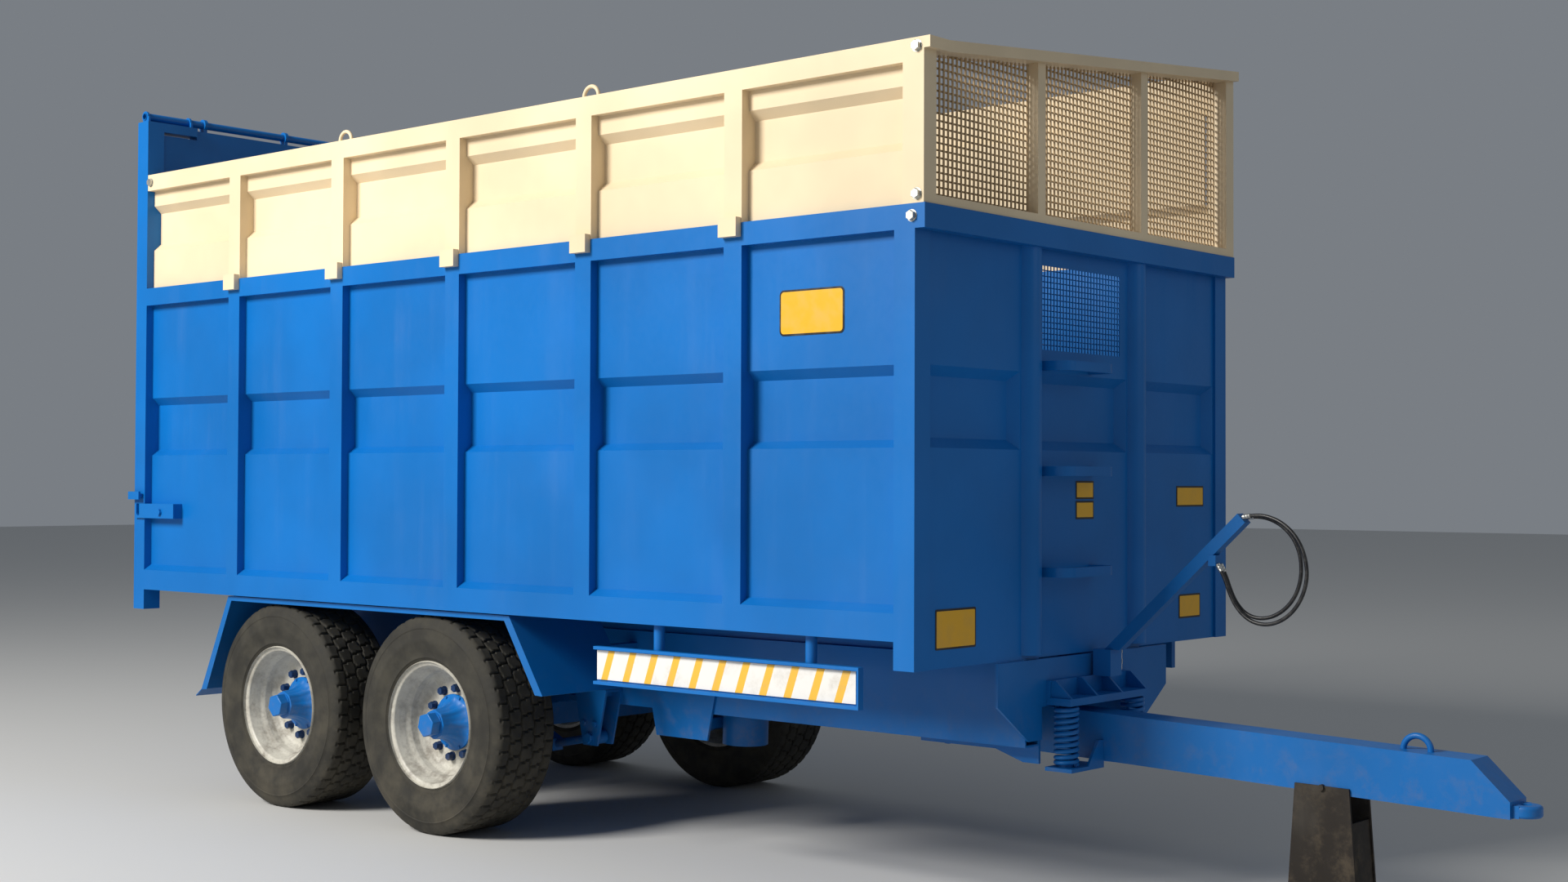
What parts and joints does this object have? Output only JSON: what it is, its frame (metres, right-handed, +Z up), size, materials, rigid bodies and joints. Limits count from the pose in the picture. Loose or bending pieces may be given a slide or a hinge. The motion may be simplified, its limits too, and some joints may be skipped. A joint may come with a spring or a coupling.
{
  "type": "tipping silage trailer",
  "caption": "Tandem-axle high-sided farm tipping trailer with silage sides, top-hung tailgate, folding drawbar stand and a hose arm.",
  "frame": {"origin": "on the ground, at the middle of the footprint's box", "axes": "+X forward to the tow eye, +Y to the trailer's left, +Z up"},
  "size_m": [7.53, 2.504, 3.7719],
  "materials": {
    "body_blue": "bright blue gloss paint",
    "frame_blue": "blue chassis paint",
    "cream_paint": "cream gloss paint",
    "rim_paint": "off-white wheel paint, dusty",
    "stand_brown": "dark brown paint, rusty",
    "tyre": "black rubber tread",
    "hose": "black rubber hose",
    "bright_steel": "polished ram stage",
    "zinc": "zinc plated",
    "spring_steel": "dark forged steel",
    "guard_board": "white panel with slanted yellow stripes"
  },
  "bodies": {
    "chassis": {"chassis_rails": "frame_blue", "chassis_cross_members": "frame_blue", "headstock": "frame_blue", "drawbar_hinge": "frame_blue", "suspension_hangers": "frame_blue", "ram_cradle": "frame_blue", "tip_hinge_ears": "frame_blue", "mudguards": "frame_blue", "rear_light_bar": "frame_blue", "hose_arm": "frame_blue", "hose_outer": "hose", "hose_inner": "hose"},
    "tub": {"floor_plate": "body_blue", "floor_frame": "body_blue", "side_sheets": "body_blue", "side_posts": "body_blue", "body_rails": "body_blue", "front_corner_posts": "body_blue", "rear_posts": "body_blue", "gate_hinge_pipe": "zinc", "front_sheet": "body_blue", "front_posts": "body_blue", "window_mesh": "body_blue", "step_rungs": "body_blue", "silage_sheets": "body_blue", "silage_frames": "cream_paint", "lifting_loops": "cream_paint", "cover_bolts": "zinc", "silage_front_frame": "cream_paint", "silage_front_mesh": "zinc", "side_guard_frames": "body_blue", "side_guard_boards": "guard_board", "hook_pads": "body_blue"},
    "gate": {"gate_frame": "body_blue", "gate_sheet": "body_blue"},
    "hook_left": {"gate_hook_left": "body_blue"},
    "hook_right": {"gate_hook_right": "body_blue"},
    "ram_barrel": {"ram_barrel": "frame_blue"},
    "axle_front": {"axle_front": "frame_blue", "leaf_springs_front": "spring_steel"},
    "axle_rear": {"axle_rear": "frame_blue", "leaf_springs_rear": "spring_steel"},
    "equaliser": {"equalisers": "spring_steel"},
    "drawbar": {"drawbar_beam": "frame_blue", "tow_eye": "spring_steel", "drawbar_springs": "spring_steel"},
    "stand": {"drawbar_stand": "stand_brown"},
    "ram_stage_1": {"ram_stage_1": "bright_steel"},
    "ram_stage_2": {"ram_stage_2": "bright_steel"},
    "ram_stage_3": {"ram_stage_3": "bright_steel"},
    "ram_stage_4": {"ram_stage_4": "bright_steel"},
    "ram_stage_5": {"ram_stage_5": "bright_steel"},
    "wheel_front_left": {"tyre_front_left": "tyre", "wheel_front_left": "rim_paint"},
    "wheel_front_right": {"tyre_front_right": "tyre", "wheel_front_right": "rim_paint"},
    "wheel_rear_left": {"tyre_rear_left": "tyre", "wheel_rear_left": "rim_paint"},
    "wheel_rear_right": {"tyre_rear_right": "tyre", "wheel_rear_right": "rim_paint"}
  },
  "joints": [
    {"name": "body_tip", "type": "hinge", "parent": "chassis", "child": "tub", "pos_m": [-3.465, 0, 1.019], "axis": [0, -1, 0], "range_deg": [0, 40]},
    {"name": "gate_swing", "type": "hinge", "parent": "tub", "child": "gate", "pos_m": [-3.605, 0, 3.738], "axis": [0, 1, 0], "range_deg": [0, 95]},
    {"name": "ram_tilt", "type": "hinge", "parent": "chassis", "child": "ram_barrel", "pos_m": [-0.115, 0, 0.772], "axis": [0, -1, 0], "range_deg": [0, 20.05]},
    {"name": "front_axle_swing", "type": "hinge", "parent": "chassis", "child": "axle_front", "pos_m": [-0.635, 0, 0.446], "axis": [0, 1, 0], "range_deg": [-1.4, 1.4]},
    {"name": "rear_axle_swing", "type": "hinge", "parent": "chassis", "child": "axle_rear", "pos_m": [-2.8, 0, 0.446], "axis": [0, 1, 0], "range_deg": [-1.45, 1.45]},
    {"name": "equaliser_rock", "type": "hinge", "parent": "chassis", "child": "equaliser", "pos_m": [-1.7175, 0, 0.6], "axis": [0, 1, 0], "range_deg": [-9.6, 9.6]},
    {"name": "drawbar_swing", "type": "hinge", "parent": "chassis", "child": "drawbar", "pos_m": [1.335, 0, 0.627], "axis": [0, 1, 0], "range_deg": [-3, 3], "stiffness_Nm_per_rad": 660000, "springref_deg": 0.91, "deforming": ["drawbar_springs"]},
    {"name": "stand_fold", "type": "hinge", "parent": "drawbar", "child": "stand", "pos_m": [2.95, 0, 0.522], "axis": [0, 1, 0], "range_deg": [0, 95]},
    {"name": "hook_left", "type": "hinge", "parent": "tub", "child": "hook_left", "pos_m": [-3.37, 1.229, 1.514], "axis": [0, 1, 0], "range_deg": [0, 23.5]},
    {"name": "hook_right", "type": "hinge", "parent": "tub", "child": "hook_right", "pos_m": [-3.37, -1.229, 1.514], "axis": [0, 1, 0], "range_deg": [0, 23.5]},
    {"name": "ram_slide_1", "type": "slide", "parent": "ram_barrel", "child": "ram_stage_1", "axis": [0.0259, 0, 0.9997], "range_m": [0, 0.45567]},
    {"name": "ram_slide_2", "type": "slide", "parent": "ram_stage_1", "child": "ram_stage_2", "axis": [0.0259, 0, 0.9997], "range_m": [0, 0.45567]},
    {"name": "ram_slide_3", "type": "slide", "parent": "ram_stage_2", "child": "ram_stage_3", "axis": [0.0259, 0, 0.9997], "range_m": [0, 0.45567]},
    {"name": "ram_slide_4", "type": "slide", "parent": "ram_stage_3", "child": "ram_stage_4", "axis": [0.0259, 0, 0.9997], "range_m": [0, 0.45567]},
    {"name": "ram_slide_5", "type": "slide", "parent": "ram_stage_4", "child": "ram_stage_5", "axis": [0.0259, 0, 0.9997], "range_m": [0, 0.45567]},
    {"name": "wheel_front_left_spin", "type": "hinge", "parent": "axle_front", "child": "wheel_front_left", "pos_m": [-1.105, 1.0075, 0.525], "axis": [0, 1, 0], "continuous": true},
    {"name": "wheel_front_right_spin", "type": "hinge", "parent": "axle_front", "child": "wheel_front_right", "pos_m": [-1.105, -1.0075, 0.525], "axis": [0, 1, 0], "continuous": true},
    {"name": "wheel_rear_left_spin", "type": "hinge", "parent": "axle_rear", "child": "wheel_rear_left", "pos_m": [-2.33, 1.0075, 0.525], "axis": [0, 1, 0], "continuous": true},
    {"name": "wheel_rear_right_spin", "type": "hinge", "parent": "axle_rear", "child": "wheel_rear_right", "pos_m": [-2.33, -1.0075, 0.525], "axis": [0, 1, 0], "continuous": true}
  ],
  "couplings": [
    {"joint": "ram_tilt", "follows": "body_tip", "ratio": 0.5},
    {"joint": "ram_slide_1", "follows": "body_tip", "m_per_rad": 0.65198},
    {"joint": "ram_slide_2", "follows": "body_tip", "m_per_rad": 0.65198},
    {"joint": "ram_slide_3", "follows": "body_tip", "m_per_rad": 0.65198},
    {"joint": "ram_slide_4", "follows": "body_tip", "m_per_rad": 0.65198},
    {"joint": "ram_slide_5", "follows": "body_tip", "m_per_rad": 0.65198},
    {"joint": "rear_axle_swing", "follows": "front_axle_swing", "ratio": 1},
    {"joint": "equaliser_rock", "follows": "front_axle_swing", "ratio": -6.73}
  ]
}
